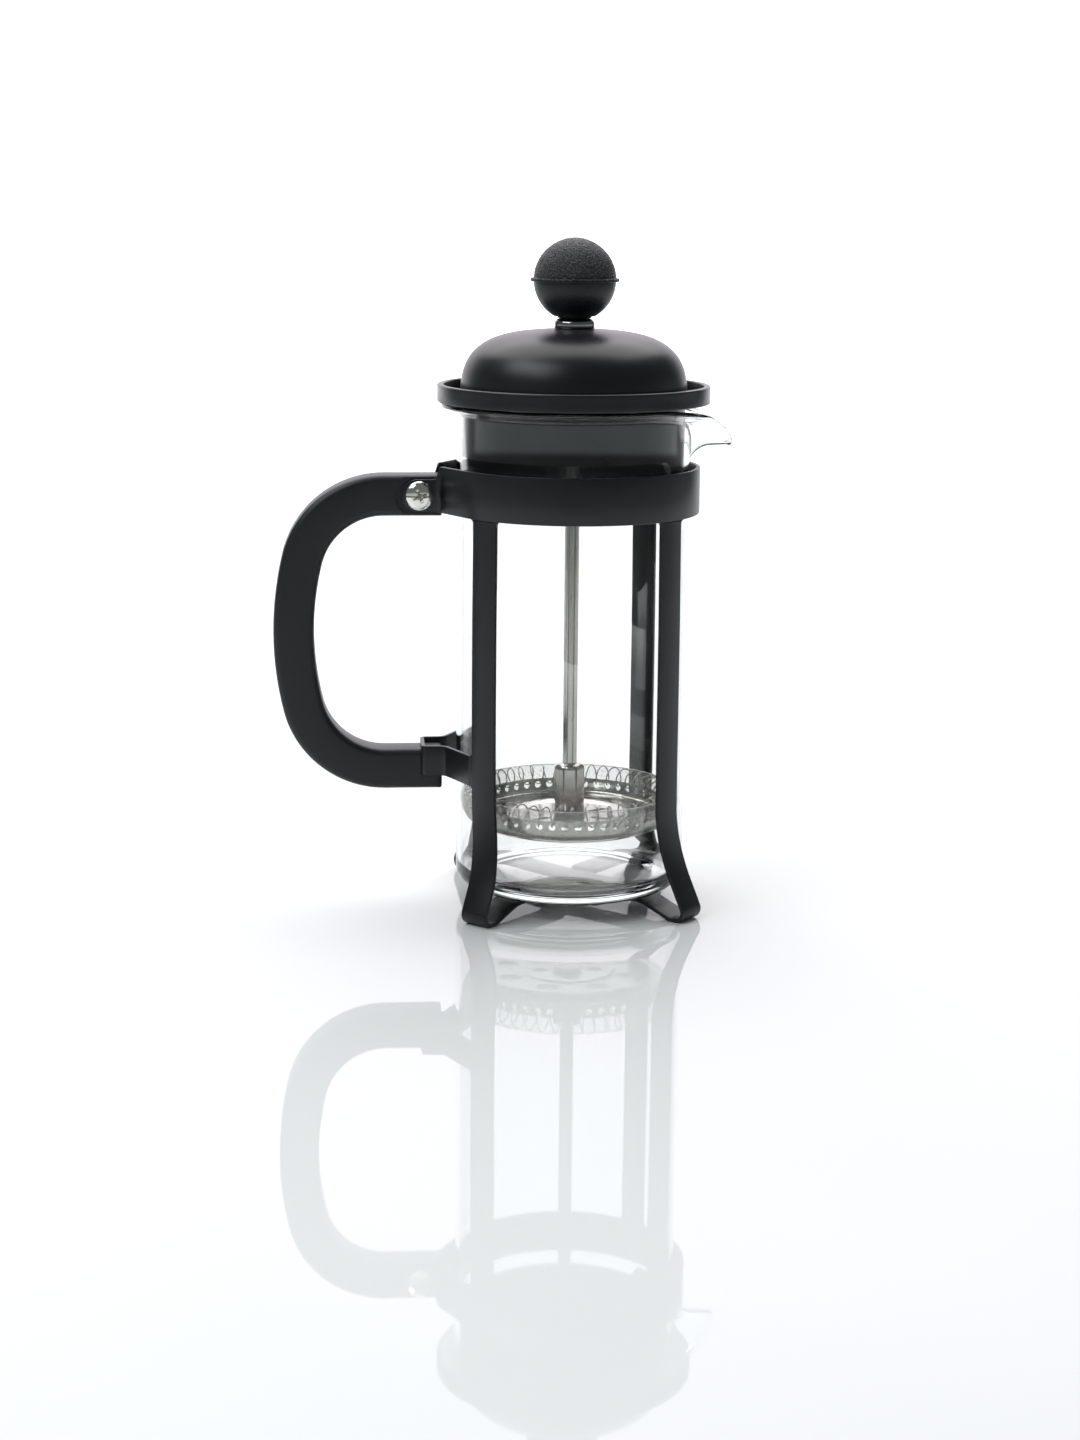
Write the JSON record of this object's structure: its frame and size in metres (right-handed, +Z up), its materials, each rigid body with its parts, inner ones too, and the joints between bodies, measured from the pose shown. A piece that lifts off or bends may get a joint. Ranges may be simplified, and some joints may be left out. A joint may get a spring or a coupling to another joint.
{
  "type": "french press",
  "caption": "Glass plunger coffee maker: a spouted beaker in a black strip frame with a D handle, a domed screw-together lid and a ball-knob plunger with a sprung mesh filter.",
  "frame": {"origin": "on the beaker's axis, in the plane that the feet stand on", "axes": "+Z up along the plunger rod, +X towards the spout, -X towards the handle"},
  "size_m": [0.1384, 0.0818, 0.2012],
  "materials": {
    "frame_black": "satin black powder coat",
    "handle_black": "moulded matte black",
    "bright_nickel": "nickel plated, bright",
    "glass": "clear borosilicate",
    "dome_black": "satin gloss black",
    "insert_black": "moulded black",
    "chrome": "polished",
    "knob_black": "grained black",
    "brass": "machined",
    "stainless": "brushed stainless",
    "stainless_mesh": "woven wire"
  },
  "bodies": {
    "frame": {"collar": "frame_black", "leg_strap_lower": "frame_black", "leg_strap_upper": "frame_black", "strap_rivet": "frame_black", "handle_bracket": "frame_black", "handle": "handle_black", "handle_screw": "bright_nickel", "handle_nut": "bright_nickel"},
    "beaker": {"beaker": "glass"},
    "lid_core": {"lid_ferrule": "chrome", "lid_lock_nut": "stainless"},
    "lid": {"lid_dome": "dome_black", "lid_insert": "insert_black"},
    "plunger": {"knob_upper_half": "knob_black", "knob_lower_half": "knob_black", "knob_thread_insert": "brass", "plunger_rod": "stainless", "rod_end_sleeve": "stainless", "spring_plate": "stainless", "edge_spring": "stainless", "mesh_screen": "stainless_mesh", "cross_plate": "stainless", "cross_plate_stud": "stainless"}
  },
  "joints": [
    {"name": "beaker_lift", "type": "slide", "parent": "frame", "child": "beaker", "axis": [0, 0, 1], "range_m": [0, 0.135]},
    {"name": "lid_lift", "type": "slide", "parent": "beaker", "child": "lid_core", "axis": [0, 0, 1], "range_m": [0, 0.14]},
    {"name": "lid_turn", "type": "hinge", "parent": "lid_core", "child": "lid", "pos_m": [0, 0, 0.155], "axis": [0, 0, 1], "continuous": true},
    {"name": "plunge", "type": "slide", "parent": "lid_core", "child": "plunger", "axis": [0, 0, 1], "range_m": [0, 0.096]}
  ]
}
